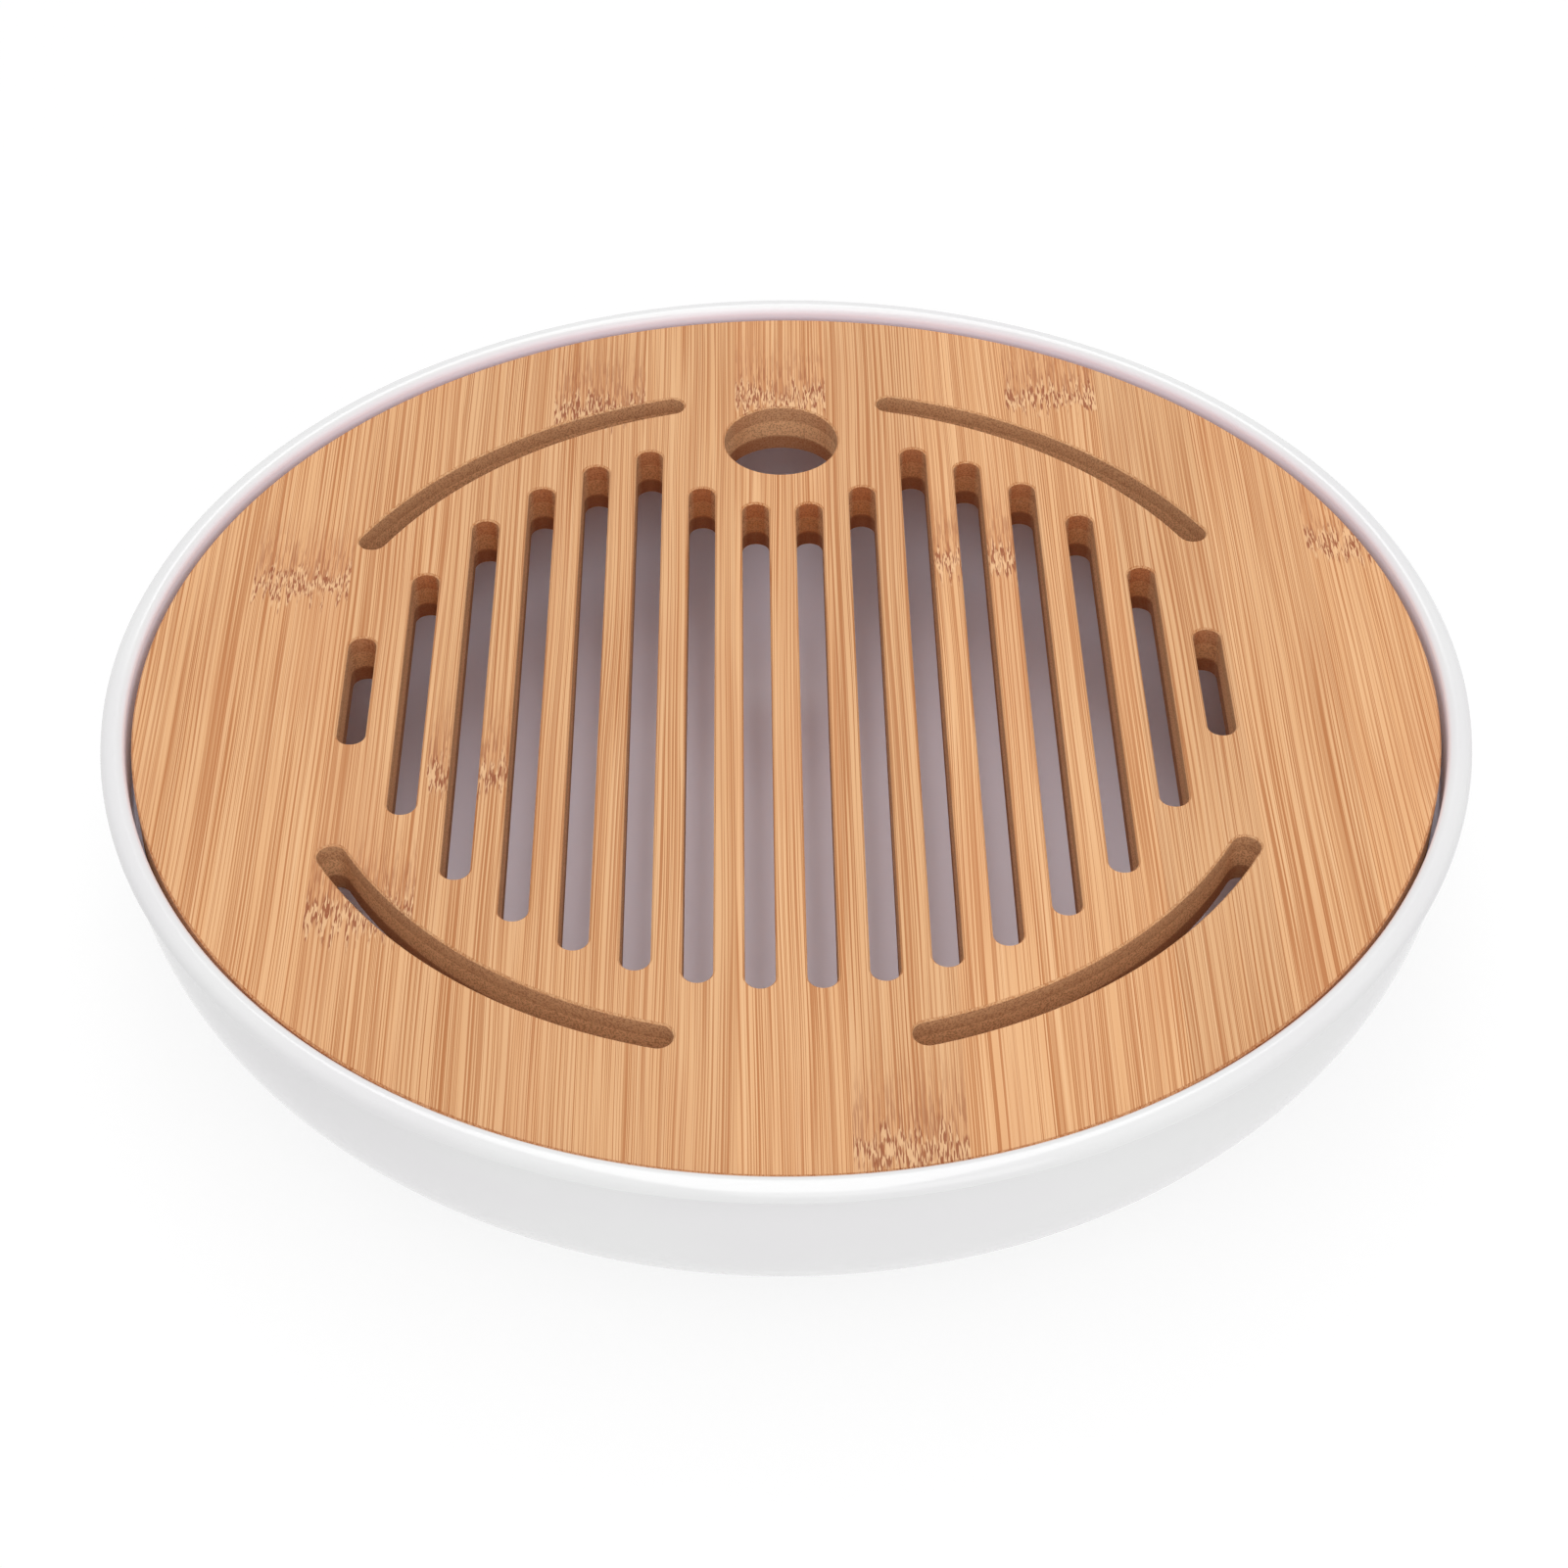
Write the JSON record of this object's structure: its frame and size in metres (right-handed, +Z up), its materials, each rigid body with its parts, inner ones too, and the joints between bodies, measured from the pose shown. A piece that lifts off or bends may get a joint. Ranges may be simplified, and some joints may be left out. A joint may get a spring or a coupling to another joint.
{
  "type": "tea tray",
  "caption": "Round gongfu tea tray: a glossy white basin with a rolled lip holds waste water under a lift-out bamboo lid with drain slots and a finger hole.",
  "frame": {"origin": "on the table under the middle of the tray", "axes": "+Z up, +Y towards the finger hole at the back, +X to the right"},
  "size_m": [0.2844, 0.2844, 0.0537],
  "materials": {
    "white_moulding": "glossy",
    "bamboo_face": "satin",
    "bamboo_core": "satin",
    "silicone_pad": "matte"
  },
  "bodies": {
    "base": {"basin": "white_moulding", "foot_pad_1": "silicone_pad", "foot_pad_2": "silicone_pad", "foot_pad_3": "silicone_pad", "foot_pad_4": "silicone_pad"},
    "lid": {"bottom_strip_left_6": "bamboo_face", "bottom_strip_left_5": "bamboo_face", "bottom_strip_left_4": "bamboo_face", "bottom_strip_left_3": "bamboo_face", "bottom_strip_left_2": "bamboo_face", "bottom_strip_left_1": "bamboo_face", "bottom_strip_middle": "bamboo_face", "bottom_strip_right_1": "bamboo_face", "bottom_strip_right_2": "bamboo_face", "bottom_strip_right_3": "bamboo_face", "bottom_strip_right_4": "bamboo_face", "bottom_strip_right_5": "bamboo_face", "bottom_strip_right_6": "bamboo_face", "core_strip_front_6": "bamboo_core", "core_strip_front_5": "bamboo_core", "core_strip_front_4": "bamboo_core", "core_strip_front_3": "bamboo_core", "core_strip_front_2": "bamboo_core", "core_strip_front_1": "bamboo_core", "core_strip_middle": "bamboo_core", "core_strip_back_1": "bamboo_core", "core_strip_back_2": "bamboo_core", "core_strip_back_3": "bamboo_core", "core_strip_back_4": "bamboo_core", "core_strip_back_5": "bamboo_core", "core_strip_back_6": "bamboo_core", "top_strip_left_6": "bamboo_face", "top_strip_left_5": "bamboo_face", "top_strip_left_4": "bamboo_face", "top_strip_left_3": "bamboo_face", "top_strip_left_2": "bamboo_face", "top_strip_left_1": "bamboo_face", "top_strip_middle": "bamboo_face", "top_strip_right_1": "bamboo_face", "top_strip_right_2": "bamboo_face", "top_strip_right_3": "bamboo_face", "top_strip_right_4": "bamboo_face", "top_strip_right_5": "bamboo_face", "top_strip_right_6": "bamboo_face"}
  },
  "joints": [
    {"name": "lid_lift", "type": "slide", "parent": "base", "child": "lid", "axis": [0, 0, 1], "range_m": [0, 0.08]}
  ]
}
